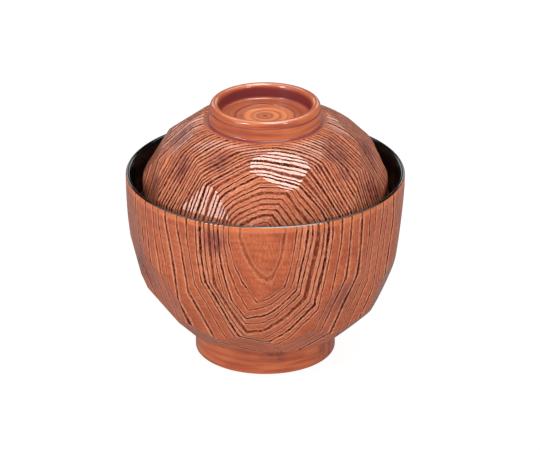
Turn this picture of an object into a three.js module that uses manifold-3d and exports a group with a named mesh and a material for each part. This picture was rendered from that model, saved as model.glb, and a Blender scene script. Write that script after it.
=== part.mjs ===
// Lidded soup bowl: a turned bowl on a foot ring and a domed lid with a ring knob, both cut with
// rows of flat tortoise-shell facets outside and coated with black lacquer inside and over the lip.
// Millimetres, +Z up. The origin is on the table, on the bowl's axis, and -Y is the front.
import * as THREE from "three";
import { mergeVertices } from "three/addons/utils/BufferGeometryUtils.js";
import Module from "manifold-3d";

const wasm = await Module();
wasm.setup();

// Bowl
const RIM_RADIUS = 57.5; // outside, at the lip
const BOWL_HEIGHT = 79.5; // table to the top of the lip
const RIM_WALL = 2.3; // wood at the lip
const BELLY_REACH = 17; // how far the belly curve sets off outwards from the foot
const BELLY_RISE = 4.4; // and how much it climbs on the way
const WALL_RUN = 47.5; // how long the wall keeps upright below the lip
const FLOOR_LEVEL = 13.4; // wood under the soup, above the table
const FLOOR_REACH = 44; // how flat the hollow's floor runs outwards
const HOLLOW_RUN = 35; // how long the hollow keeps upright below the lip
const HOLLOW_FLARE = 1.3; // widening of the hollow over that run

// Foot ring under the bowl
const FOOT_RADIUS = 29.2;
const FOOT_HEIGHT = 10.8;
const FOOT_WALL = 4.4;
const FOOT_RECESS = 6.6; // hollow inside the ring
const FOOT_ROUND = 0.9; // rounding of the edge that meets the table

// Lid
const SEAT_LEVEL = 62.5; // where the lid's rim rests on the bowl's wall, above the table
const LID_HEIGHT = 47.5; // rim to the top of the knob
const SHOULDER_INSET = 2.1; // how far the shoulder, where the dome turns upright, stands in from the rim
const SHOULDER_RISE = 9.6; // height of the shoulder over the rim
const DOME_REACH = 11.8; // how far the dome sets off outwards from the knob
const DOME_FALL = 2.6; // and how much it falls on the way
const DOME_RUN = 15.4; // how long the dome keeps upright above the shoulder
const DOME_BULGE = 1.3; // swell of the dome above the shoulder
const RIM_LAND = 1.6; // upright edge of the rim under its flare
const LID_WALL = 2.5; // wood at the rim
const CEILING_RISE = 35.4; // wood over the hollow's top, above the rim
const CEILING_REACH = 37; // how flat the hollow's top runs outwards
const LID_HOLLOW_RUN = 23; // how long the hollow keeps upright above the rim
const LID_HOLLOW_FLARE = 2.8; // widening of the hollow over that run

// Ring knob on the lid
const KNOB_RADIUS = 22.6;
const KNOB_HEIGHT = 8.2; // ring above the dome
const KNOB_TAPER = 0.5; // the ring is wider at its base
const KNOB_WALL = 3.1;
const KNOB_RECESS = 6.2; // hollow inside the ring
const KNOB_COVE = 2.3; // small cove where the ring leaves the dome
const COVE_RISE = 1.3;
const DISC_RADIUS = 11.9; // turned groove in the recess
const DISC_GROOVE = 0.9; // its width
const DISC_DEPTH = 0.5;

// Black lacquer coat and fits
const COAT = 0.7; // thickness of the coat inside
const COAT_GAP = 0.3; // bond line between coat and wood
const LIP_HEIGHT = 1; // coat over the edge of the bowl and of the lid
const LIP_ROUND = 0.9; // its rounding outside
const LIP_ROLL = 2.2; // and its rounder roll into the hollow
const SEAT_CLEARANCE = 0.3; // lid rim to the bowl's coated wall

// Facets: each row is a ring of flat cuts below the turned surface, at a share of the way in height
// from the foot to the lip or from the knob to the shoulder. A row is turned by a part of a step against
// the row before it, so that the cuts form a tortoise-shell pattern. The single cuts are made by eye:
// swings are the degrees that they stand off their even places, bites what they go deeper
const BOWL_FACETS = 11;
const BOWL_FACET_TURN = 7.6; // degrees from the front to the middle of a belly cut
const BOWL_ROWS = [
  { share: 0.122, depth: 2, stagger: 0.5, bites: [0, -0.6, -1.2, 0.3, -0.2, 0.4, 0, 1, 2, 0, 0] },
  { share: 0.33, depth: 2.6, stagger: 0, bites: [0, 0, -1.2, -1.2, 0.2, -0.3, 0.3, -0.2, 0, 0, 0] },
  { share: 0.641, depth: 1.2, stagger: 0.5 },
];
const LID_FACETS = 8;
const LID_FACET_TURN = 12; // degrees from the front to the first cut below the knob
const LID_ROWS = [
  { share: 0.206, depth: 1.22, stagger: 0, swings: [-4, 2, -3, 4, -2, 3, -4, 6] },
  { share: 0.496, depth: 2.3, stagger: 0.555 },
  { share: 0.694, depth: 1.7, stagger: 0.083 },
];

// Fineness of the turned surfaces
const SEGMENTS = 56;
const CURVE_STEPS = 12;
const HOLLOW_STEPS = 9;
const ROUND_STEPS = 3;

const wood = new THREE.MeshStandardMaterial({ color: 0xb5683f, roughness: 0.35, metalness: 0 });
const lacquer = new THREE.MeshStandardMaterial({ color: 0x0b0908, roughness: 0.12, metalness: 0 });

const at = (r, z) => new THREE.Vector2(r, z);
const curve = (...points) => new THREE.CubicBezierCurve(...points);

// Points along a curve, moved to its left by an offset, but never past the axis
function trace(path, steps, offset = 0) {
  const points = [];
  for (let i = 0; i <= steps; i += 1) {
    const tangent = path.getTangentAt(i / steps);
    const point = path.getPointAt(i / steps);
    const r = Math.max(0, point.x - tangent.y * offset);
    points.push(at(r, point.y + tangent.x * offset));
  }
  return points;
}

// Quarter round from one angle to another about a centre, in degrees
function round(r, z, radius, from, to) {
  const points = [];
  for (let i = 0; i <= ROUND_STEPS; i += 1) {
    const angle = THREE.MathUtils.degToRad(from + ((to - from) * i) / ROUND_STEPS);
    points.push(at(r + radius * Math.cos(angle), z + radius * Math.sin(angle)));
  }
  return points;
}

// Closed solid of a geometry, without the slivers that a revolve leaves on its axis
function solid(geometry) {
  const plain = new THREE.BufferGeometry();
  plain.setAttribute("position", geometry.getAttribute("position"));
  plain.setIndex(geometry.index);
  const merged = mergeVertices(plain, 1e-4);
  const corners = merged.index.array;
  const triangles = [];
  for (let i = 0; i < corners.length; i += 3) {
    const [a, b, c] = corners.slice(i, i + 3);
    if (a !== b && b !== c && c !== a) {
      triangles.push(a, b, c);
    }
  }
  return new wasm.Manifold(
    new wasm.Mesh({
      numProp: 3,
      vertProperties: merged.getAttribute("position").array,
      triVerts: new Uint32Array(triangles),
    }),
  );
}

// Profile of radius and height turned about the axis
function turned(points) {
  const geometry = new THREE.LatheGeometry(points, SEGMENTS);
  geometry.rotateX(Math.PI / 2);
  return solid(geometry);
}

// Where a falling or rising curve has come a share of its way in height
function alongAt(path, share) {
  let low = 0;
  let high = 1;
  const level = THREE.MathUtils.lerp(path.v0.y, path.v3.y, share);
  const rising = path.v3.y > path.v0.y;
  for (let i = 0; i < 40; i += 1) {
    const middle = (low + high) / 2;
    if (path.getPointAt(middle).y < level === rising) {
      low = middle;
    } else {
      high = middle;
    }
  }
  return low;
}

// Flat cuts round a turned solid, one ring of them for each row
function facetted(blank, path, rows, count, turn) {
  let cut = blank;
  const side = RIM_RADIUS;
  const rising = path.v3.y > path.v0.y ? 1 : -1;
  for (const row of rows) {
    const along = alongAt(path, row.share);
    const point = path.getPointAt(along);
    const tangent = path.getTangentAt(along);
    for (let i = 0; i < count; i += 1) {
      const even = turn + ((i + row.stagger) * 360) / count;
      const azimuth = THREE.MathUtils.degToRad(even + (row.swings?.[i] ?? 0));
      const out = new THREE.Vector3(Math.sin(azimuth), -Math.cos(azimuth), 0);
      const normal = out.clone().multiplyScalar(rising * tangent.y);
      normal.z = -rising * tangent.x;
      const centre = out.clone().multiplyScalar(point.x);
      centre.z = point.y;
      centre.addScaledVector(normal, side / 2 - row.depth - (row.bites?.[i] ?? 0));
      const slab = new THREE.BoxGeometry(side, side, side);
      slab.applyQuaternion(
        new THREE.Quaternion().setFromUnitVectors(new THREE.Vector3(0, 0, 1), normal),
      );
      slab.translate(centre.x, centre.y, centre.z);
      cut = cut.subtract(solid(slab));
    }
  }
  return cut;
}

function piece(name, body, material) {
  const made = body.getMesh();
  const geometry = new THREE.BufferGeometry();
  geometry.setAttribute("position", new THREE.BufferAttribute(made.vertProperties, 3));
  geometry.setIndex(new THREE.BufferAttribute(made.triVerts, 1));
  geometry.computeVertexNormals();
  const mesh = new THREE.Mesh(geometry, material);
  mesh.name = name;
  return mesh;
}

// Bowl: the belly curve turned solid, facetted, set on its foot ring and hollowed
const bowlEdge = BOWL_HEIGHT - LIP_HEIGHT - COAT_GAP;
const bowlCurve = curve(
  at(FOOT_RADIUS, FOOT_HEIGHT),
  at(FOOT_RADIUS + BELLY_REACH, FOOT_HEIGHT + BELLY_RISE),
  at(RIM_RADIUS, BOWL_HEIGHT - WALL_RUN),
  at(RIM_RADIUS, bowlEdge),
);
const hollowCurve = curve(
  at(0, FLOOR_LEVEL),
  at(FLOOR_REACH, FLOOR_LEVEL),
  at(RIM_RADIUS - RIM_WALL - HOLLOW_FLARE, bowlEdge - HOLLOW_RUN),
  at(RIM_RADIUS - RIM_WALL, bowlEdge),
);
const bowlBlank = turned([
  at(0, FOOT_HEIGHT),
  ...trace(bowlCurve, CURVE_STEPS),
  at(0, bowlEdge),
]);
const recessRadius = FOOT_RADIUS - FOOT_WALL;
const foot = turned([
  at(0, FOOT_RECESS),
  at(recessRadius - FOOT_ROUND, FOOT_RECESS),
  at(recessRadius, 0),
  ...round(FOOT_RADIUS - FOOT_ROUND, FOOT_ROUND, FOOT_ROUND, -90, 0),
  at(FOOT_RADIUS, FOOT_HEIGHT),
  at(0, FLOOR_LEVEL),
]);
const bowlHollow = turned([...trace(hollowCurve, HOLLOW_STEPS), at(0, bowlEdge)]);
const bowlBody = facetted(bowlBlank, bowlCurve, BOWL_ROWS, BOWL_FACETS, BOWL_FACET_TURN)
  .add(foot)
  .subtract(bowlHollow);

// Coat of the bowl: a skin in the hollow that ends in a rounded bead over the lip
const coatInside = trace(hollowCurve, HOLLOW_STEPS, COAT_GAP + COAT);
const coatOutside = trace(hollowCurve, HOLLOW_STEPS, COAT_GAP);
const lipInner = RIM_RADIUS - RIM_WALL - COAT_GAP - COAT;
const bowlCoat = turned([
  ...coatOutside,
  at(RIM_RADIUS - RIM_WALL - COAT_GAP, bowlEdge + COAT_GAP),
  at(RIM_RADIUS, bowlEdge + COAT_GAP),
  ...round(RIM_RADIUS - LIP_ROUND, BOWL_HEIGHT - LIP_ROUND, LIP_ROUND, 0, 90),
  ...round(lipInner + LIP_ROLL, BOWL_HEIGHT - LIP_ROLL, LIP_ROLL, 90, 180),
  ...coatInside.reverse().slice(1),
]);

// Lid: its rim takes its size from the coated wall that it rests on
const lidTop = SEAT_LEVEL + LID_HEIGHT;
const lidEdge = SEAT_LEVEL + LIP_HEIGHT + COAT_GAP;
const seatCurve = trace(hollowCurve, 200, COAT_GAP + COAT);
const seat = seatCurve.find((point) => point.y >= SEAT_LEVEL);
const lidRadius = seat.x - SEAT_CLEARANCE;
const knobBase = lidTop - KNOB_HEIGHT;
const knobFoot = KNOB_RADIUS + KNOB_TAPER;
const shoulder = lidRadius - SHOULDER_INSET;
const shoulderLevel = SEAT_LEVEL + SHOULDER_RISE;
const domeCurve = curve(
  at(knobFoot + KNOB_COVE, knobBase),
  at(knobFoot + KNOB_COVE + DOME_REACH, knobBase - DOME_FALL),
  at(shoulder + DOME_BULGE, shoulderLevel + DOME_RUN),
  at(shoulder, shoulderLevel),
);
const flareCurve = new THREE.QuadraticBezierCurve(
  at(lidRadius, lidEdge + RIM_LAND),
  at(shoulder, (lidEdge + RIM_LAND + shoulderLevel) / 2),
  at(shoulder, shoulderLevel),
);
const ceiling = SEAT_LEVEL + CEILING_RISE;
const lidHollowCurve = curve(
  at(0, ceiling),
  at(CEILING_REACH, ceiling),
  at(lidRadius - LID_WALL - LID_HOLLOW_FLARE, lidEdge + LID_HOLLOW_RUN),
  at(lidRadius - LID_WALL, lidEdge),
);
const lidBlank = turned([
  at(0, lidEdge),
  at(lidRadius, lidEdge),
  ...trace(flareCurve, ROUND_STEPS),
  ...trace(domeCurve, CURVE_STEPS).reverse().slice(1),
  at(0, knobBase),
]);
const coveCurve = new THREE.QuadraticBezierCurve(
  at(knobFoot + KNOB_COVE, knobBase),
  at(knobFoot, knobBase),
  at(knobFoot, knobBase + COVE_RISE),
);
const knobRound = KNOB_WALL / 2;
const recessFloor = lidTop - KNOB_RECESS;
const knob = turned([
  at(0, ceiling),
  at(knobFoot + KNOB_COVE, ceiling),
  ...trace(coveCurve, ROUND_STEPS),
  ...round(KNOB_RADIUS - knobRound, lidTop - knobRound, knobRound, 0, 90),
  ...round(KNOB_RADIUS - knobRound, lidTop - knobRound, knobRound, 90, 180).slice(1),
  at(KNOB_RADIUS - KNOB_WALL - KNOB_TAPER, recessFloor),
  at(DISC_RADIUS + DISC_GROOVE, recessFloor),
  at(DISC_RADIUS + DISC_GROOVE / 2, recessFloor - DISC_DEPTH),
  at(DISC_RADIUS, recessFloor),
  at(0, recessFloor),
]);
const lidHollow = turned([at(0, lidEdge), ...trace(lidHollowCurve, HOLLOW_STEPS).reverse()]);
const lidBody = facetted(lidBlank, domeCurve, LID_ROWS, LID_FACETS, LID_FACET_TURN)
  .add(knob)
  .subtract(lidHollow);

// Coat of the lid: a skin in the hollow that ends in a rounded bead under the rim
const lidLipInner = lidRadius - LID_WALL - COAT_GAP - COAT;
const lidCoat = turned([
  ...trace(lidHollowCurve, HOLLOW_STEPS, -COAT_GAP - COAT).slice(0, -1),
  ...round(lidLipInner + LIP_ROLL, SEAT_LEVEL + LIP_ROLL, LIP_ROLL, 180, 270),
  ...round(lidRadius - LIP_ROUND, SEAT_LEVEL + LIP_ROUND, LIP_ROUND, 270, 360),
  at(lidRadius, lidEdge - COAT_GAP),
  at(lidRadius - LID_WALL - COAT_GAP, lidEdge - COAT_GAP),
  ...trace(lidHollowCurve, HOLLOW_STEPS, -COAT_GAP).reverse(),
]);

const bowl = new THREE.Group();
bowl.add(piece("bowl_body", bowlBody, wood));
bowl.add(piece("bowl_lining", bowlCoat, lacquer));
const lid = new THREE.Group();
lid.add(piece("lid_body", lidBody, wood));
lid.add(piece("lid_lining", lidCoat, lacquer));
const soupBowl = new THREE.Group();
soupBowl.add(bowl, lid);

export default soupBowl;
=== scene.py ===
import math

import bmesh
import bpy
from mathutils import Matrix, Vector
from mathutils.geometry import interpolate_bezier


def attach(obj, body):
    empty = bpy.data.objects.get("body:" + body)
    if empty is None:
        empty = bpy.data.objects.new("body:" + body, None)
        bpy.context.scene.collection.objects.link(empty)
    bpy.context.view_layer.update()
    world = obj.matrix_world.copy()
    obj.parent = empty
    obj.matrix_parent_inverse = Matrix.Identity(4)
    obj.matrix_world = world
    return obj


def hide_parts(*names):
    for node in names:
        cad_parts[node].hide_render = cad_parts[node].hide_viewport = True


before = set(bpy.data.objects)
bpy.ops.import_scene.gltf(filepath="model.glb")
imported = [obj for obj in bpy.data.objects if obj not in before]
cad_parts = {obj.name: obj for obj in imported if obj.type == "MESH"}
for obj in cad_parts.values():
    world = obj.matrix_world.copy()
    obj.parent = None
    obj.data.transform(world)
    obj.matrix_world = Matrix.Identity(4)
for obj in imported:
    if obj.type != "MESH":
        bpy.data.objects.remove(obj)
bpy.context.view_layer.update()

# Lidded soup bowl: two turned and facetted pieces of grained wood under clear lacquer, each with a
# black lacquer coat inside. Profiles are radius and height in millimetres; the mesh is in metres.
MM = 0.001
ROUND_STEPS = 192

# Meshes: joining distances, softened edge of a cut, what counts as level, degrees of a hard edge
WELD = 0.02
CUT_WELD = 0.12
CUT_SNAP = 0.0001
SOFT_EDGE = 0.3
ON_LEVEL = 0.01
HARD_ANGLE = 52

RIM_RADIUS = 57.5
LIP_TOP = 79.5
WOOD_EDGE = 78.2
EDGE_ROUND = 0.9
LACQUER_FILM = 0.04
LIP_BEAD = 0.95
LIP_BEAD_INSET = 1.0
LIP_WOOD = ((56.7, 79.05), (56.0, 78.7), (55.5, 78.4))
LIP_COAT = ((55.0, 77.9), (55.4, 78.5), (56.0, 78.8), (56.75, 79.1))
LIP_COAT_END = (54.7, 76.6)
BOND_LINE = 0.1
COAT_FACE = 1.0
FOOT_RADIUS = 29.2
FOOT_HEIGHT = 10.8
FOOT_STEPS = (8.4, 5.6, 2.8)
FOOT_ROUND = 0.9
FOOT_INNER_RADIUS = 25.4
FOOT_INNER_ROUND = 0.6
FOOT_INNER_WALL = (24.3, 4.0)
FOOT_RECESS = 6.6
FOOT_RECESS_RADIUS = 22.9
FOOT_RECESS_ROUND = 1.1
FOOT_RECESS_STEPS = (16.0, 8.0, 0)
BELLY = ((FOOT_RADIUS, FOOT_HEIGHT), (46.2, 15.2), (RIM_RADIUS, 32.0), (RIM_RADIUS, WOOD_EDGE))
BOWL_HOLLOW = ((0, 13.4), (44.0, 13.4), (53.9, 43.2), (55.2, WOOD_EDGE))

LID_RADIUS = 52.63
LID_EDGE = 63.8
LID_REST = 62.5
LID_RIM_TOP = 64.6
LID_BEAD_WIDTH = 3.5
LID_BEAD_ROLL = 1.4
LID_BEAD_ROUND = 0.8
LID_BEAD_EDGE = 0.2
LID_BEAD_GAP = 0.02
SHOULDER = 50.53
SHOULDER_HEIGHT = 72.1
KNOB_BASE = 101.8
KNOB_COVE = 25.4
KNOB_FOOT = 23.1
KNOB_TOP = 110.0
KNOB_WALL = ((22.98, 104.6), (22.86, 105.9))
KNOB_GROOVE = (22.74, 107.0, 0.22)
KNOB_BEAD = 1.75
KNOB_BEAD_RADIUS = 20.9
KNOB_INNER_WALL = (19.05, 106.4)
RECESS_FLOOR = 103.8
RECESS_RADIUS = 17.9
RECESS_ROUND = 0.9
RECESS_STEP = 15.4
DISC_RADIUS = 12.35
DISC_GROOVE = 0.45
DISC_GROOVE_RISE = 0.12
DISC_STEPS = (9.5, 6.0, 3.0, 0)
DOME = ((KNOB_COVE, KNOB_BASE), (37.2, 99.2), (51.83, 87.5), (SHOULDER, SHOULDER_HEIGHT))
FLARE = ((LID_RADIUS, 65.4), (SHOULDER, 68.75), (SHOULDER, SHOULDER_HEIGHT))
COVE = ((KNOB_COVE, KNOB_BASE), (KNOB_FOOT + 0.2, KNOB_BASE), (KNOB_FOOT, 102.5))
LID_HOLLOW = ((0, 97.9), (37.0, 97.9), (47.33, 86.8), (50.13, LID_EDGE))

# Painted shade of the turned parts in creases, grooves and deep corners, the knob's inner wall among
# them, and the dark mark at the middle of the knob's floor: radius, height, reach, strength
TURNED_SHADE_AND_MARK = (
    (FOOT_RADIUS, FOOT_HEIGHT, 1.1, 0.85),
    (KNOB_FOOT + 0.6, KNOB_BASE + 0.2, 1.0, 0.9),
    (22.5, 106.95, 0.5, 0.6),
    (19.1, 106.4, 3.4, 0.9),
    (DISC_RADIUS, RECESS_FLOOR, 0.75, 0.6),
    (0.4, RECESS_FLOOR, 1.4, 0.7),
)
# Where the knob's inner disc is lighter towards its middle: radius, height, reach
LIGHTER_DISC = (5.0, RECESS_FLOOR, 8.5)

# Dark patches, middle and reach: clouds in the wood on the bowl and the lid, and painted shade on the
# lid's lower part where it sinks into the bowl's rim (the last four of the lid)
BOWL_STAINS = (((-20.3, -53.5, 71.0), 9.0), ((34.0, -46.0, 40.0), 14.0), ((-50.0, -20.0, 46.0), 15.0))
LID_CLOUDS_AND_SEAT_SHADE = (
    ((-34.1, -4.3, 96.7), 11.0),
    ((-34.2, -23.3, 90.6), 9.0),
    ((28.2, -20.7, 96.1), 11.0),
    ((41.6, -5.2, 89.9), 10.0),
    ((-18.3, -29.9, 96.1), 7.0),
    ((32.2, -28.9, 89.9), 6.0),
    # Painted shade where the lid sinks into the bowl's rim
    ((45.0, -21.0, 79.0), 11.0),
    ((-46.0, -19.0, 80.0), 10.0),
    ((-51.0, -9.0, 71.0), 11.0),
    ((51.0, -9.0, 71.0), 11.0),
)
# Painted shade on the foot: on its right side, away from the light, and at its front under the belly
FOOT_PAINTED_SHADE = (((26.0, -14.0, 5.0), 14.0), ((4.0, -29.0, 10.0), 8.0))

WOOD_DEEP, WOOD_LIGHT = (0.52, 0.118, 0.047, 1), (0.63, 0.160, 0.063, 1)
LATE_WOOD = (0.30, 0.044, 0.021, 1)
FIBRE_BROWN = (0.23, 0.038, 0.02, 1)
MARK_BROWN = (0.31, 0.058, 0.026, 1)
# Colour of the painted glints beside the grain lines
PAINTED_GLINT = (0.93, 0.42, 0.25, 1)
# Colour of the dark clouds in the wood and of the painted shade near the lid's rim
CLOUD_AND_SHADE_WINE = (0.13, 0.024, 0.038, 1)
# Colour of the painted highlight band at the top of the wood
PAINTED_HIGHLIGHT_WOOD = (0.86, 0.26, 0.10, 1)
PORE_DARK = (0.05, 0.0045, 0.0025, 1)
TURNED_DEEP, TURNED_LIGHT = (0.53, 0.122, 0.044, 1), (0.62, 0.164, 0.056, 1)
# Lighter colour towards the middle of the knob's floor
TURNED_LIGHTER = (0.98, 0.31, 0.105, 1)
TURNED_STREAK = (0.33, 0.05, 0.028, 1)
# Colour of the painted shade on the foot
FOOT_SHADE_WINE = (0.13, 0.022, 0.03, 1)
# Colour of the painted shade in the turned parts' creases and corners and of the mark at the middle of
# the knob's floor
SHADE_AND_MARK_WINE = (0.15, 0.016, 0.03, 1)
LACQUER_BLACK, LACQUER_THIN = (0.0035, 0.003, 0.003, 1), (0.006, 0.0045, 0.004, 1)

# Least slant of a year ring to the surface that still counts for the width of its line
LEAST_SLANT = 0.3

VIEW_RISE = 24.25
VIEW_AIM = (1.95, -0.085, 54.81)
VIEW_DISTANCE = 1.6
VIEW_LENS = 257.4
VIEW_SENSOR = 36.0

# Rows of flat cuts: share of the way in height, depth, turn by a part of a step. Single cuts are made by
# eye: the swings are the degrees that they stand off their even places, the bites what they go deeper
BOWL_CUTS, BOWL_TURN = 11, 7.6
BOWL_EVEN = (0,) * BOWL_CUTS
BOWL_ROWS = (
    (0.122, 2.0, 0.5, BOWL_EVEN, (0, -0.6, -1.2, 0.3, -0.2, 0.4, 0, 1, 2, 0, 0)),
    (0.33, 2.6, 0, BOWL_EVEN, (0, 0, -1.2, -1.2, 0.2, -0.3, 0.3, -0.2, 0, 0, 0)),
    (0.641, 1.2, 0.5, BOWL_EVEN, BOWL_EVEN),
)
LID_CUTS, LID_TURN = 8, 12.0
LID_EVEN = (0,) * LID_CUTS
LID_ROWS = (
    (0.206, 1.22, 0, (-4, 2, -3, 4, -2, 3, -4, 6), LID_EVEN),
    (0.496, 2.3, 0.555, LID_EVEN, LID_EVEN),
    (0.694, 1.7, 0.083, LID_EVEN, LID_EVEN),
)


def bend(points, steps):
    """Radius and height along a curve of three or four control points."""
    ends = [Vector((r, z)) for r, z in points]
    if len(ends) == 3:
        start, middle, end = ends
        ends = [start, start.lerp(middle, 2 / 3), end.lerp(middle, 2 / 3), end]
    return [(p.x, p.y) for p in interpolate_bezier(*ends, steps + 1)]


def arc(r, z, radius, start, stop, steps=6):
    """Radius and height along a rounding about a centre, in degrees."""
    angles = [math.radians(start + (stop - start) * i / steps) for i in range(steps + 1)]
    return [(r + radius * math.cos(a), z + radius * math.sin(a)) for a in angles]


def beside(profile, distance):
    """The same profile moved to its left, never past the axis."""
    moved = []
    for i, (r, z) in enumerate(profile):
        before = Vector(profile[max(i - 1, 0)])
        after = Vector(profile[min(i + 1, len(profile) - 1)])
        along = (after - before).normalized()
        if i == 0 and r == 0:
            along = Vector((1, 0))
        moved.append((max(0, r - along.y * distance), z + along.x * distance))
    return moved


def turn(bm, profile, finish=0):
    """Spins a profile once round the axis and gives the new faces a finish."""
    before = set(bm.faces)
    corners = [bm.verts.new((0, -r * MM, z * MM)) for r, z in profile]
    lines = [bm.edges.new(pair) for pair in zip(corners, corners[1:])]
    bmesh.ops.spin(
        bm, geom=corners + lines, axis=(0, 0, 1), angle=math.tau, steps=ROUND_STEPS, use_merge=True
    )
    for face in bm.faces:
        if face not in before:
            face.material_index = finish


def put_in_order(bm):
    """Sorts the corners by their place, so that joining them goes the same way in each run."""
    by_place = sorted(bm.verts, key=lambda corner: tuple(round(part / MM, 3) for part in corner.co))
    for rank, corner in enumerate(by_place):
        corner.index = rank
    bm.verts.sort()


def close_seams(bm):
    """Joins the turned parts and their poles, then turns all faces outwards."""
    put_in_order(bm)
    bmesh.ops.remove_doubles(bm, verts=bm.verts, dist=WELD * MM)
    bmesh.ops.recalc_face_normals(bm, faces=bm.faces)


def cut_facets(bm, path, rows, count, turned):
    """Planes flat cuts round the blank, row by row, and softens the edges of each cut."""
    flat = bm.faces.layers.int.new("flat_cut")
    for share, depth, stagger, swings, bites in rows:
        level = path[0][1] + share * (path[-1][1] - path[0][1])
        for (r, z), (r_next, z_next) in zip(path, path[1:]):
            if min(z, z_next) <= level <= max(z, z_next):
                radius = r + (r_next - r) * (level - z) / (z_next - z)
                along = Vector((r_next - r, z_next - z)).normalized()
        lean = 1 if along.y > 0 else -1
        for i in range(count):
            azimuth = math.radians(turned + (i + stagger) * 360 / count + swings[i])
            out = Vector((math.sin(azimuth), -math.cos(azimuth), 0))
            normal = lean * (out * along.y - Vector((0, 0, along.x)))
            point = out * radius + Vector((0, 0, level)) - normal * (depth + bites[i])
            sliced = bmesh.ops.bisect_plane(
                bm,
                geom=bm.verts[:] + bm.edges[:] + bm.faces[:],
                dist=CUT_SNAP * MM,
                plane_co=point * MM,
                plane_no=normal,
                clear_outer=True,
            )
            edges = [part for part in sliced["geom_cut"] if isinstance(part, bmesh.types.BMEdge)]
            for face in bmesh.ops.edgeloop_fill(bm, edges=edges)["faces"]:
                face[flat] = 1
    put_in_order(bm)
    bmesh.ops.remove_doubles(bm, verts=bm.verts, dist=CUT_WELD * MM)
    bmesh.ops.recalc_face_normals(bm, faces=bm.faces)
    cuts = [face for face in bm.faces if face[flat]]
    bmesh.ops.inset_individual(bm, faces=cuts, thickness=SOFT_EDGE * MM, use_even_offset=True)


def take_caps_off(bm, *levels):
    """Removes the flat ends of a blank at the given heights."""
    caps = [
        face
        for face in bm.faces
        for level in levels
        if all(abs(corner.co.z - level * MM) < ON_LEVEL * MM for corner in face.verts)
    ]
    bmesh.ops.delete(bm, geom=caps, context="FACES")


def finished(bm, name, body, stands_for, materials):
    """Makes the object of a piece, smooth but for its hard edges, and ties it to its body."""
    close_seams(bm)
    for face in bm.faces:
        face.smooth = True
    for edge in bm.edges:
        edge.smooth = edge.calc_face_angle(0) < math.radians(HARD_ANGLE)
    mesh = bpy.data.meshes.new(name)
    bm.to_mesh(mesh)
    bm.free()
    for material in materials:
        mesh.materials.append(material)
    piece = bpy.data.objects.new(name, mesh)
    bpy.context.scene.collection.objects.link(piece)
    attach(piece, body)
    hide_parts(stands_for)


def bowl_shell(materials):
    """Belly and wall with their flat cuts, rounded edge, hollow, and the foot ring."""
    belly = bend(BELLY, 44)
    bm = bmesh.new()
    turn(bm, [(0, FOOT_HEIGHT), *belly, (0, WOOD_EDGE)])
    close_seams(bm)
    cut_facets(bm, belly, BOWL_ROWS, BOWL_CUTS, BOWL_TURN)
    take_caps_off(bm, FOOT_HEIGHT, WOOD_EDGE)
    lip = LIP_TOP - EDGE_ROUND - LACQUER_FILM
    hollow = bend(BOWL_HOLLOW, 24)
    turn(
        bm,
        [
            (RIM_RADIUS, WOOD_EDGE),
            *arc(RIM_RADIUS - EDGE_ROUND, lip, EDGE_ROUND, 0, 56, 6),
            *LIP_WOOD,
            *reversed(hollow),
        ],
    )
    turn(
        bm,
        [
            (FOOT_RADIUS, FOOT_HEIGHT),
            *((FOOT_RADIUS, level) for level in FOOT_STEPS),
            *arc(FOOT_RADIUS - FOOT_ROUND, FOOT_ROUND, FOOT_ROUND, 0, -90),
            *arc(FOOT_INNER_RADIUS, FOOT_INNER_ROUND, FOOT_INNER_ROUND, -90, -180),
            FOOT_INNER_WALL,
            *arc(FOOT_RECESS_RADIUS, FOOT_RECESS - FOOT_RECESS_ROUND, FOOT_RECESS_ROUND, 8, 90),
            *((radius, FOOT_RECESS) for radius in FOOT_RECESS_STEPS),
        ],
        finish=1,
    )
    finished(bm, "bowl_shell", "bowl", "bowl_body", materials)


def bowl_lacquer(materials):
    """Black coat of the bowl's hollow that runs over the lip and ends on its outer rounding."""
    hollow = bend(BOWL_HOLLOW, 40)
    skin = beside(hollow, COAT_FACE)[:-1]
    round_centre = LIP_TOP - EDGE_ROUND - LACQUER_FILM
    bm = bmesh.new()
    turn(
        bm,
        [
            *beside(hollow, BOND_LINE)[:-2],
            *LIP_COAT,
            *arc(RIM_RADIUS - EDGE_ROUND, round_centre, EDGE_ROUND + LACQUER_FILM, 46, 90, 6),
            *arc(RIM_RADIUS - LIP_BEAD_INSET, LIP_TOP - LIP_BEAD, LIP_BEAD, 90, 155, 8),
            LIP_COAT_END,
            *reversed(skin[:-1]),
        ],
    )
    finished(bm, "bowl_lacquer", "bowl", "bowl_lining", materials)


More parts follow.
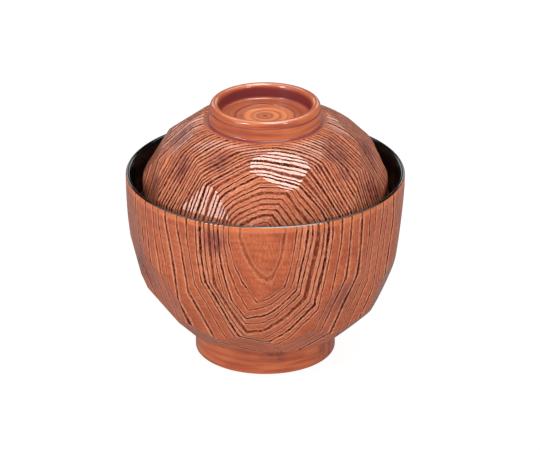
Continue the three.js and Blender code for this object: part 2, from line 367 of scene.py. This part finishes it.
def lid_shell(materials):
    """Dome with its flat cuts, flared rim, hollow, and the ring knob with its turned recess."""
    dome = bend(DOME, 40)
    bm = bmesh.new()
    flare = bend(FLARE, 8)
    turn(
        bm,
        [
            (0, LID_EDGE),
            (LID_RADIUS, LID_EDGE),
            (LID_RADIUS, LID_RIM_TOP),
            *flare,
            *reversed(dome[:-1]),
            (0, KNOB_BASE),
        ],
    )
    close_seams(bm)
    cut_facets(bm, dome, LID_ROWS, LID_CUTS, LID_TURN)
    take_caps_off(bm, LID_EDGE, KNOB_BASE)
    turn(bm, list(reversed(bend(LID_HOLLOW, 24))))
    rim = [
        edge
        for edge in bm.edges
        if edge.is_boundary and all(abs(v.co.z - LID_EDGE * MM) < ON_LEVEL * MM for v in edge.verts)
    ]
    bmesh.ops.triangle_fill(bm, use_beauty=True, edges=rim)
    turn(
        bm,
        [
            *bend(COVE, 8),
            *KNOB_WALL,
            *arc(*KNOB_GROOVE, -60, -170, 4),
            *arc(KNOB_BEAD_RADIUS, KNOB_TOP - KNOB_BEAD, KNOB_BEAD, -14, 180, 20),
            KNOB_INNER_WALL,
            *arc(RECESS_RADIUS, RECESS_FLOOR + RECESS_ROUND, RECESS_ROUND, 0, -90, 5),
            (RECESS_STEP, RECESS_FLOOR),
            *arc(DISC_RADIUS, RECESS_FLOOR + DISC_GROOVE_RISE, DISC_GROOVE, -15, -165, 6),
            *((radius, RECESS_FLOOR) for radius in DISC_STEPS),
        ],
        finish=1,
    )
    finished(bm, "lid_shell", "lid", "lid_body", materials)


def lid_lacquer(materials):
    """Black coat of the lid's hollow that ends in a rounded bead under the rim."""
    hollow = bend(LID_HOLLOW, 40)
    roll = LID_RADIUS - LID_BEAD_WIDTH + LID_BEAD_ROLL
    top = LID_EDGE - LID_BEAD_GAP
    bm = bmesh.new()
    turn(
        bm,
        [
            *beside(hollow, -COAT_FACE)[:-1],
            *arc(roll, LID_REST + LID_BEAD_ROLL, LID_BEAD_ROLL, 180, 270, 10),
            *arc(LID_RADIUS - LID_BEAD_ROUND, LID_REST + LID_BEAD_ROUND, LID_BEAD_ROUND, -90, 0, 8),
            *arc(LID_RADIUS - LID_BEAD_EDGE, top - LID_BEAD_EDGE, LID_BEAD_EDGE, 0, 90, 4),
            (LID_RADIUS - LID_BEAD_ROLL, top),
            *reversed(beside(hollow, -BOND_LINE)[:-1]),
        ],
    )
    finished(bm, "lid_lacquer", "lid", "lid_lining", materials)


def feed(tree, socket, value):
    """Links a socket to another one, or sets its value."""
    if isinstance(value, bpy.types.NodeSocket):
        tree.links.new(value, socket)
    else:
        socket.default_value = value


def sums(tree, operation, *values):
    """Result of a Math node."""
    node = tree.nodes.new("ShaderNodeMath")
    node.operation = operation
    for socket, value in zip(node.inputs, values):
        feed(tree, socket, value)
    return node.outputs[0]


def moved(tree, operation, *values):
    """Result of a Vector Math node: a number for a length, distance or dot product, else a vector."""
    node = tree.nodes.new("ShaderNodeVectorMath")
    node.operation = operation
    for socket, value in zip(node.inputs, values):
        feed(tree, socket, value)
    return node.outputs["Value" if operation in ("LENGTH", "DISTANCE", "DOT_PRODUCT") else "Vector"]


def eased(tree, value, low, high, to_low, to_high):
    """Value brought smoothly from one range to another."""
    node = tree.nodes.new("ShaderNodeMapRange")
    node.interpolation_type = "SMOOTHSTEP"
    names = ("Value", "From Min", "From Max", "To Min", "To Max")
    for name, entry in zip(names, (value, low, high, to_low, to_high)):
        feed(tree, node.inputs[name], entry)
    return node.outputs["Result"]


def cloud(tree, position, stretch, detail=2.0, rough=0.5):
    """Noise in a position stretched along its axes: value and colour."""
    node = tree.nodes.new("ShaderNodeTexNoise")
    feed(tree, node.inputs["Vector"], moved(tree, "MULTIPLY", position, stretch))
    node.inputs["Scale"].default_value = 1.0
    node.inputs["Detail"].default_value = detail
    node.inputs["Roughness"].default_value = rough
    return node.outputs[0], node.outputs[1]


def tinted(tree, amount, under, over):
    """Mix of two colours."""
    node = tree.nodes.new("ShaderNodeMix")
    node.data_type = "RGBA"
    feed(tree, node.inputs[0], amount)
    feed(tree, node.inputs[6], under)
    feed(tree, node.inputs[7], over)
    return node.outputs[2]


def height_of(tree, place):
    """Height of a position."""
    split = tree.nodes.new("ShaderNodeSeparateXYZ")
    feed(tree, split.inputs[0], place)
    return split.outputs["Z"]


def axis_distance(tree, place):
    """Distance of a position from the axis."""
    return moved(tree, "LENGTH", moved(tree, "MULTIPLY", place, (1, 1, 0)))


def new_group(name, inputs, outputs):
    """Empty node group with named sockets."""
    tree = bpy.data.node_groups.new(name, "ShaderNodeTree")
    for title, kind in inputs:
        tree.interface.new_socket(title, in_out="INPUT", socket_type=kind)
    for title, kind in outputs:
        tree.interface.new_socket(title, in_out="OUTPUT", socket_type=kind)
    return tree, tree.nodes.new("NodeGroupInput").outputs, tree.nodes.new("NodeGroupOutput").inputs


def growth_rings():
    """Year rings of a trunk that stands or leans beside the piece: dark pore lines, late wood, and a
    painted highlight, a pale glint, along the ridge beside each line.
    """
    number = "NodeSocketFloat"
    tree, given, result = new_group(
        "growth_rings",
        (
            ("Position", "NodeSocketVector"),
            ("Normal", "NodeSocketVector"),
            ("Pith", "NodeSocketVector"),
            ("Lean", number),
            ("Dense From", number),
            ("Dense To", number),
            ("Inner Spacing", number),
            ("Dense Spacing", number),
            ("Outer Spacing", number),
            ("Far From", number),
            ("Far Spacing", number),
            ("Inner Strength", number),
            ("Line Width", number),
        ),
        (("Line", number), ("Painted Glint", number), ("Late Wood", number)),
    )
    place = given["Position"]
    wander = moved(tree, "SUBTRACT", cloud(tree, place, (0.05, 0.05, 0.018), 1)[1], (0.5, 0.5, 0.5))
    quiver = moved(tree, "SUBTRACT", cloud(tree, place, (0.4, 0.4, 0.14), 1)[1], (0.5, 0.5, 0.5))
    drift = moved(
        tree,
        "ADD",
        moved(tree, "MULTIPLY", wander, (3.4, 3.4, 0)),
        moved(tree, "MULTIPLY", quiver, (0.5, 0.5, 0)),
    )
    from_pith = moved(tree, "SUBTRACT", moved(tree, "ADD", place, drift), given["Pith"])
    lean = tree.nodes.new("ShaderNodeCombineXYZ")
    feed(tree, lean.inputs["Y"], sums(tree, "MULTIPLY", height_of(tree, from_pith), given["Lean"]))
    from_pith = moved(tree, "MULTIPLY", moved(tree, "SUBTRACT", from_pith, lean.outputs[0]), (1, 1, 0))
    radius = moved(tree, "LENGTH", from_pith)
    facing = moved(tree, "DOT_PRODUCT", moved(tree, "NORMALIZE", from_pith), given["Normal"])
    across = sums(tree, "SUBTRACT", 1, sums(tree, "MULTIPLY", facing, facing))
    across = sums(tree, "MAXIMUM", sums(tree, "SQRT", sums(tree, "MAXIMUM", across, 0)), LEAST_SLANT)
    past_start = sums(tree, "SUBTRACT", radius, given["Dense From"])
    past_end = sums(tree, "SUBTRACT", radius, given["Dense To"])
    width = sums(tree, "SUBTRACT", given["Dense To"], given["Dense From"])
    inner = sums(tree, "DIVIDE", sums(tree, "MINIMUM", past_start, 0), given["Inner Spacing"])
    dense = sums(tree, "MINIMUM", sums(tree, "MAXIMUM", past_start, 0), width)
    dense = sums(tree, "DIVIDE", dense, given["Dense Spacing"])
    past_outer = sums(tree, "SUBTRACT", radius, given["Far From"])
    outer_width = sums(tree, "SUBTRACT", given["Far From"], given["Dense To"])
    outer = sums(tree, "MINIMUM", sums(tree, "MAXIMUM", past_end, 0), outer_width)
    outer = sums(tree, "DIVIDE", outer, given["Outer Spacing"])
    far = sums(tree, "DIVIDE", sums(tree, "MAXIMUM", past_outer, 0), given["Far Spacing"])
    year = sums(tree, "ADD", sums(tree, "ADD", inner, dense), sums(tree, "ADD", outer, far))
    uneven = tree.nodes.new("ShaderNodeTexNoise")
    uneven.noise_dimensions = "1D"
    feed(tree, uneven.inputs["W"], sums(tree, "MULTIPLY", year, 0.55))
    uneven.inputs["Scale"].default_value = 1.0
    uneven.inputs["Detail"].default_value = 0.0
    year = sums(tree, "MULTIPLY_ADD", uneven.outputs[0], 0.9, year)
    in_dense = sums(tree, "GREATER_THAN", past_start, 0)
    in_outer = sums(tree, "GREATER_THAN", past_end, 0)
    in_far = sums(tree, "GREATER_THAN", past_outer, 0)
    to_dense = sums(tree, "SUBTRACT", given["Dense Spacing"], given["Inner Spacing"])
    to_outer = sums(tree, "SUBTRACT", given["Outer Spacing"], given["Dense Spacing"])
    spacing = sums(tree, "MULTIPLY_ADD", in_dense, to_dense, given["Inner Spacing"])
    spacing = sums(tree, "MULTIPLY_ADD", in_outer, to_outer, spacing)
    to_far = sums(tree, "SUBTRACT", given["Far Spacing"], given["Outer Spacing"])
    spacing = sums(tree, "MULTIPLY_ADD", in_far, to_far, spacing)
    part = sums(tree, "FRACT", year)
    near = sums(tree, "MINIMUM", part, sums(tree, "SUBTRACT", 1, part))
    gap = sums(tree, "DIVIDE", sums(tree, "MULTIPLY", near, spacing), across)
    ragged = sums(tree, "SUBTRACT", cloud(tree, place, (1.7, 1.7, 0.8), 2, 0.6)[0], 0.5)
    gap = sums(tree, "ABSOLUTE", sums(tree, "MULTIPLY_ADD", ragged, 0.5, gap))
    swell = cloud(tree, place, (0.22, 0.22, 0.1), 1)[0]
    half = sums(tree, "MULTIPLY", eased(tree, swell, 0.3, 0.7, 0.32, 0.48), given["Line Width"])
    reach = sums(tree, "DIVIDE", gap, half)
    core = eased(tree, reach, 0.5, 1.0, 1.0, 0.0)
    # Painted highlight: a pale glint on the ridge just outside each grain line
    edge = eased(tree, reach, 0.6, 1.2, 0.0, 1.0)
    edge = sums(tree, "MULTIPLY", edge, eased(tree, reach, 1.4, 2.8, 1.0, 0.0))
    beads = eased(tree, cloud(tree, place, (0.95, 0.95, 0.46), 2)[0], 0.36, 0.54, 0.35, 1.0)
    lot = tree.nodes.new("ShaderNodeTexWhiteNoise")
    lot.noise_dimensions = "1D"
    feed(tree, lot.inputs["W"], sums(tree, "ROUND", year))
    strength = eased(tree, lot.outputs["Value"], 0, 1, 0.7, 1.0)
    faint = eased(tree, past_start, -3.4, 0.1, given["Inner Strength"], 1.0)
    slant = eased(tree, across, LEAST_SLANT, LEAST_SLANT + 0.15, 0.0, 1.0)
    slant = sums(tree, "MAXIMUM", slant, sums(tree, "SUBTRACT", 1, in_far))
    faint = sums(tree, "MULTIPLY", faint, slant)
    line = sums(tree, "MULTIPLY", sums(tree, "MULTIPLY", core, beads), strength)
    feed(tree, result["Line"], sums(tree, "MULTIPLY", line, faint))
    edge = sums(tree, "MULTIPLY", sums(tree, "MULTIPLY", edge, beads), strength)
    feed(tree, result["Painted Glint"], sums(tree, "MULTIPLY", edge, faint))
    late = sums(tree, "MULTIPLY", eased(tree, part, 0.35, 1.0, 0.0, 1.0), faint)
    feed(tree, result["Late Wood"], late)
    return tree


def fine_pores():
    """Short fine streaks of the wood's fibre, upright, and broad patches of deeper colour."""
    number = "NodeSocketFloat"
    tree, given, result = new_group(
        "fine_pores",
        (("Position", "NodeSocketVector"),),
        (("Streak", number), ("Patch", number)),
    )
    place = given["Position"]
    streak = cloud(tree, place, (2.4, 2.4, 0.5), 3, 0.65)[0]
    feed(tree, result["Streak"], eased(tree, streak, 0.45, 0.68, 0.0, 1.0))
    patch = cloud(tree, place, (0.07, 0.07, 0.05), 2, 0.55)[0]
    feed(tree, result["Patch"], eased(tree, patch, 0.32, 0.68, 0.0, 1.0))
    return tree


def lathe_marks():
    """Fine turning lines that run round the axis on walls and floors alike."""
    number = "NodeSocketFloat"
    tree, given, result = new_group(
        "lathe_marks",
        (("Position", "NodeSocketVector"), ("Fineness", number)),
        (("Mark", number), ("Streak", number)),
    )
    place = given["Position"]
    split = tree.nodes.new("ShaderNodeSeparateXYZ")
    feed(tree, split.inputs[0], place)
    turned = tree.nodes.new("ShaderNodeCombineXYZ")
    feed(tree, turned.inputs["X"], sums(tree, "MULTIPLY", axis_distance(tree, place), given["Fineness"]))
    feed(tree, turned.inputs["Y"], sums(tree, "MULTIPLY", split.outputs["X"], 0.045))
    feed(tree, turned.inputs["Z"], sums(tree, "MULTIPLY", split.outputs["Z"], given["Fineness"]))
    feed(tree, result["Mark"], cloud(tree, turned.outputs[0], (1, 1, 1), 2, 0.6)[0])
    broad = cloud(tree, turned.outputs[0], (0.36, 1, 0.36), 2, 0.55)[0]
    feed(tree, result["Streak"], eased(tree, broad, 0.42, 0.68, 0.0, 1.0))
    return tree


def placed(tree, group, **values):
    """Puts a node group into a material with its own values."""
    node = tree.nodes.new("ShaderNodeGroup")
    node.node_tree = group
    for name, value in values.items():
        feed(tree, node.inputs[name.replace("_", " ")], value)
    return node.outputs


def started(name):
    """New material: its tree, its shader, the object's own position in millimetres, its normal."""
    material = bpy.data.materials.new(name)
    material.use_nodes = True
    tree = material.node_tree
    shader = tree.nodes["Principled BSDF"]
    spot = tree.nodes.new("ShaderNodeTexCoord")
    scale = tree.nodes.new("ShaderNodeMapping")
    scale.inputs["Scale"].default_value = (1000, 1000, 1000)
    tree.links.new(spot.outputs["Object"], scale.inputs["Vector"])
    return material, tree, shader, scale.outputs[0], spot.outputs["Normal"]


def bumped(tree, shader, height, distance):
    """Feeds a height to the shader's normal."""
    node = tree.nodes.new("ShaderNodeBump")
    node.inputs["Distance"].default_value = distance * MM
    feed(tree, node.inputs["Height"], height)
    tree.links.new(node.outputs[0], shader.inputs["Normal"])


def clouds_and_shade(tree, place, dark_patches):
    """Mask of dark patches, each with its middle and its reach: clouds in the wood, and painted shade.
    """
    dapple = eased(tree, cloud(tree, place, (0.3, 0.3, 0.2), 3, 0.6)[0], 0.3, 0.65, 0.25, 1.0)
    mask = 0.0
    for middle, reach in dark_patches:
        away = moved(tree, "DISTANCE", place, middle)
        mask = sums(tree, "MAXIMUM", mask, eased(tree, away, 0, reach, 1, 0))
    return sums(tree, "MULTIPLY", mask, dapple)


def grained_wood(name, groups, rings, dark_patches, highlight_from):
    """Open-grained brown wood under clear lacquer: dark grooves, late wood, pores, patches, clouds,
    painted glints beside the grooves, a painted highlight band at the top, and on the lid painted shade
    near its rim.
    """
    material, tree, shader, place, normal = started(name)
    grain = placed(tree, groups["growth_rings"], Position=place, Normal=normal, **rings)
    pores = placed(tree, groups["fine_pores"], Position=place)
    marks = placed(tree, groups["lathe_marks"], Position=place, Fineness=2.4)
    colour = tinted(tree, pores["Patch"], WOOD_DEEP, WOOD_LIGHT)
    late = sums(tree, "MULTIPLY", grain["Late Wood"], 0.4)
    colour = tinted(tree, late, colour, LATE_WOOD)
    streak = sums(tree, "MULTIPLY", pores["Streak"], 0.55)
    colour = tinted(tree, streak, colour, FIBRE_BROWN)
    mark = sums(tree, "MULTIPLY", marks["Streak"], 0.42)
    colour = tinted(tree, mark, colour, MARK_BROWN)
    # Painted highlight: pale glints along the ridges beside the grain lines
    edge = sums(tree, "MULTIPLY", grain["Painted Glint"], 0.58)
    colour = tinted(tree, edge, colour, PAINTED_GLINT)
    # Dark clouds in the wood, and on the lid's lower part painted shade where it sinks into the bowl's
    # rim
    dark_patch = sums(tree, "MULTIPLY", clouds_and_shade(tree, place, dark_patches), 0.8)
    colour = tinted(tree, dark_patch, colour, CLOUD_AND_SHADE_WINE)
    # Painted highlight: a lighter band at the top of the wood, where the bowl's rounded rim and the
    # lid's dome under the knob catch the light
    lightened = eased(tree, height_of(tree, place), highlight_from, highlight_from + 1.2, 0.0, 0.4)
    colour = tinted(tree, lightened, colour, PAINTED_HIGHLIGHT_WOOD)
    colour = tinted(tree, grain["Line"], colour, PORE_DARK)
    feed(tree, shader.inputs["Base Color"], colour)
    feed(tree, shader.inputs["Roughness"], eased(tree, grain["Line"], 0, 1, 0.4, 0.8))
    feed(tree, shader.inputs["Coat Weight"], eased(tree, grain["Line"], 0, 0.3, 0.75, 0.0))
    shader.inputs["Coat Roughness"].default_value = 0.09
    shader.inputs["Specular IOR Level"].default_value = 0.1
    height = sums(tree, "MULTIPLY_ADD", grain["Line"], -1.0, sums(tree, "MULTIPLY", marks["Mark"], 0.16))
    height = sums(tree, "MULTIPLY_ADD", pores["Streak"], -0.28, height)
    bumped(tree, shader, height, 0.3)
    return material


def near_ring(tree, place, radius, level, reach):
    """Mask round a circle about the axis: 1 on it, 0 from the reach on."""
    out = sums(tree, "SUBTRACT", axis_distance(tree, place), radius)
    up = sums(tree, "SUBTRACT", height_of(tree, place), level)
    away = sums(tree, "SQRT", sums(tree, "MULTIPLY_ADD", out, out, sums(tree, "MULTIPLY", up, up)))
    return eased(tree, away, reach * 0.3, reach, 1.0, 0.0)


def turned_wood(groups):
    """Smooth redder wood of the foot ring and the knob, with streaks that run round the axis, painted
    shade in its creases and corners and on the foot, and a dark mark at the middle of the knob's floor.
    """
    material, tree, shader, place, _ = started("turned_wood")
    marks = placed(tree, groups["lathe_marks"], Position=place, Fineness=1.6)
    pores = placed(tree, groups["fine_pores"], Position=place)
    colour = tinted(tree, pores["Patch"], TURNED_DEEP, TURNED_LIGHT)
    # Lighter towards the middle of the knob's floor
    lightened = sums(tree, "MULTIPLY", near_ring(tree, place, *LIGHTER_DISC), 0.85)
    colour = tinted(tree, lightened, colour, TURNED_LIGHTER)
    streak = sums(tree, "MULTIPLY", marks["Streak"], 0.7)
    colour = tinted(tree, streak, colour, TURNED_STREAK)
    # Painted shade on the foot's right side and at its front under the belly
    dark_patch = sums(tree, "MULTIPLY", clouds_and_shade(tree, place, FOOT_PAINTED_SHADE), 0.8)
    colour = tinted(tree, dark_patch, colour, FOOT_SHADE_WINE)
    # Painted shade in creases, grooves and deep corners and on the knob's inner wall, and the dark mark
    # at the middle of the knob's floor; the coat is thinned in the same places
    shade_and_mark = 0.0
    for radius, level, reach, dark in TURNED_SHADE_AND_MARK:
        dark_ring = sums(tree, "MULTIPLY", near_ring(tree, place, radius, level, reach), dark)
        shade_and_mark = sums(tree, "MAXIMUM", shade_and_mark, dark_ring)
    colour = tinted(tree, shade_and_mark, colour, SHADE_AND_MARK_WINE)
    feed(tree, shader.inputs["Base Color"], colour)
    feed(tree, shader.inputs["Roughness"], eased(tree, marks["Mark"], 0.2, 0.8, 0.3, 0.4))
    feed(tree, shader.inputs["Coat Weight"], eased(tree, shade_and_mark, 0, 0.9, 0.7, 0.1))
    shader.inputs["Coat Roughness"].default_value = 0.08
    shader.inputs["Specular IOR Level"].default_value = 0.3
    bumped(tree, shader, marks["Mark"], 0.02)
    return material


def black_lacquer(groups):
    """Gloss black lacquer with the last trace of turning lines and a faint brown where it is thin."""
    material, tree, shader, place, _ = started("black_lacquer")
    marks = placed(tree, groups["lathe_marks"], Position=place, Fineness=0.9)
    pores = placed(tree, groups["fine_pores"], Position=place)
    thin = sums(tree, "MULTIPLY", pores["Patch"], marks["Streak"])
    colour = tinted(tree, thin, LACQUER_BLACK, LACQUER_THIN)
    feed(tree, shader.inputs["Base Color"], colour)
    feed(tree, shader.inputs["Roughness"], eased(tree, pores["Patch"], 0, 1, 0.12, 0.2))
    crest = eased(tree, height_of(tree, place), LIP_TOP - 0.7, LIP_TOP - 0.2, 0.05, 1)
    feed(tree, shader.inputs["Coat Weight"], crest)
    shader.inputs["Coat Roughness"].default_value = 0.06
    shader.inputs["Specular IOR Level"].default_value = 0.1
    bumped(tree, shader, marks["Mark"], 0.012)
    return material


def softbox(name, azimuth, elevation, distance, size, radiance, mirrored=True, lighting=True):
    """Rectangular studio light that faces the object, seen in its gloss, brightening it, or both."""
    a, e = math.radians(azimuth), math.radians(elevation)
    towards = Vector((math.sin(a) * math.cos(e), -math.cos(a) * math.cos(e), math.sin(e)))
    light = bpy.data.lights.new(name, "AREA")
    light.shape = "RECTANGLE"
    light.size, light.size_y = size
    light.energy = radiance * math.pi * size[0] * size[1]
    lamp = bpy.data.objects.new(name, light)
    lamp.location = Vector((0, 0, 0.06)) + towards * distance
    lamp.rotation_euler = (-towards).to_track_quat("-Z", "Y").to_euler()
    lamp.visible_camera = False
    lamp.visible_glossy = mirrored
    lamp.visible_diffuse = lighting
    bpy.context.scene.collection.objects.link(lamp)


def brightness_by_ray(tree, seen, lit, mirrored):
    """One brightness for the camera, one for the light that falls on the object, one for its gloss."""
    ray = tree.nodes.new("ShaderNodeLightPath")
    level = sums(tree, "MULTIPLY_ADD", ray.outputs["Is Diffuse Ray"], lit - mirrored, mirrored)
    return sums(tree, "MULTIPLY_ADD", ray.outputs["Is Camera Ray"], seen - mirrored, level)


def studio():
    """White table and surroundings, softboxes, and the camera of the photograph."""
    scene = bpy.context.scene
    scene.view_settings.view_transform = "Standard"
    world = bpy.data.worlds.new("studio_white")
    world.use_nodes = True
    tree = world.node_tree
    tent = tree.nodes["Background"]
    tent.inputs["Color"].default_value = (1, 1, 1, 1)
    feed(tree, tent.inputs["Strength"], brightness_by_ray(tree, 1.0, 0.36, 0.02))
    scene.world = world

    bm = bmesh.new()
    bmesh.ops.create_circle(bm, cap_ends=True, segments=96, radius=4.0)
    mesh = bpy.data.meshes.new("table_top")
    bm.to_mesh(mesh)
    bm.free()
    table = bpy.data.objects.new("table_top", mesh)
    scene.collection.objects.link(table)
    paper = bpy.data.materials.new("white_paper")
    paper.use_nodes = True
    tree = paper.node_tree
    shader = tree.nodes["Principled BSDF"]
    shader.inputs["Base Color"].default_value = (0.12, 0.12, 0.12, 1)
    shader.inputs["Roughness"].default_value = 0.9
    shader.inputs["Specular IOR Level"].default_value = 0.0
    shader.inputs["Emission Color"].default_value = (1, 1, 1, 1)
    feed(tree, shader.inputs["Emission Strength"], brightness_by_ray(tree, 0.93, 0.75, 0.12))
    mesh.materials.append(paper)

    softbox("overhead_box", 56, 80, 1.0, (0.5, 0.5), 15.0, lighting=False)
    softbox("left_strip", -45, 35, 1.1, (0.2, 0.45), 24.0, lighting=False)
    softbox("right_strip", 45, 37, 1.1, (0.14, 0.35), 16.0, lighting=False)
    softbox("left_panel", -56, 9, 1.0, (0.26, 0.2), 9.5, lighting=False)
    softbox("back_panel", 180, 62, 1.3, (1.6, 0.7), 3.2, lighting=False)
    softbox("back_left_panel", -160, 20, 1.4, (0.5, 0.4), 1.6, lighting=False)
    softbox("back_right_panel", 160, 20, 1.4, (0.5, 0.4), 1.6, lighting=False)
    softbox("top_fill", 20, 75, 1.2, (0.8, 0.8), 2.85, mirrored=False)
    softbox("left_fill", -62, 30, 1.2, (0.7, 0.9), 3.6, mirrored=False)
    softbox("right_fill", 60, 30, 1.2, (0.7, 0.9), 2.4, mirrored=False)
    softbox("front_fill", -5, 10, 1.5, (1.4, 0.4), 2.75, mirrored=False)
    softbox("back_fill", 180, 25, 1.5, (1.8, 0.8), 1.6, mirrored=False)

    rise = math.radians(VIEW_RISE)
    back = Vector((0, -math.cos(rise), math.sin(rise)))
    view = bpy.data.cameras.new("photo_view")
    view.sensor_width = VIEW_SENSOR
    view.lens = VIEW_LENS
    camera = bpy.data.objects.new("photo_view", view)
    camera.location = Vector(VIEW_AIM) * MM + back * VIEW_DISTANCE
    camera.rotation_euler = (-back).to_track_quat("-Z", "Y").to_euler()
    scene.collection.objects.link(camera)
    scene.camera = camera


groups = {made.name: made for made in (growth_rings(), fine_pores(), lathe_marks())}
bowl_wood = grained_wood(
    "bowl_wood",
    groups,
    dict(
        Pith=(-1.0, -90.0, 72.0),
        Lean=0.035,
        Dense_From=37.6,
        Dense_To=48.0,
        Inner_Spacing=2.4,
        Dense_Spacing=1.55,
        Outer_Spacing=4.7,
        Far_From=99.0,
        Far_Spacing=2.8,
        Inner_Strength=0.5,
        Line_Width=1.15,
    ),
    BOWL_STAINS,
    highlight_from=76.4,
)
lid_wood = grained_wood(
    "lid_wood",
    groups,
    dict(
        Pith=(1.0, -95.0, 0),
        Lean=0.0,
        Dense_From=53.1,
        Dense_To=68.0,
        Inner_Spacing=1.3,
        Dense_Spacing=1.5,
        Outer_Spacing=1.75,
        Far_From=100.0,
        Far_Spacing=2.0,
        Inner_Strength=1.0,
        Line_Width=1.24,
    ),
    LID_CLOUDS_AND_SEAT_SHADE,
    highlight_from=100.2,
)
smooth_wood = turned_wood(groups)
black = black_lacquer(groups)

bowl_shell((bowl_wood, smooth_wood))
bowl_lacquer((black,))
lid_shell((lid_wood, smooth_wood))
lid_lacquer((black,))
studio()
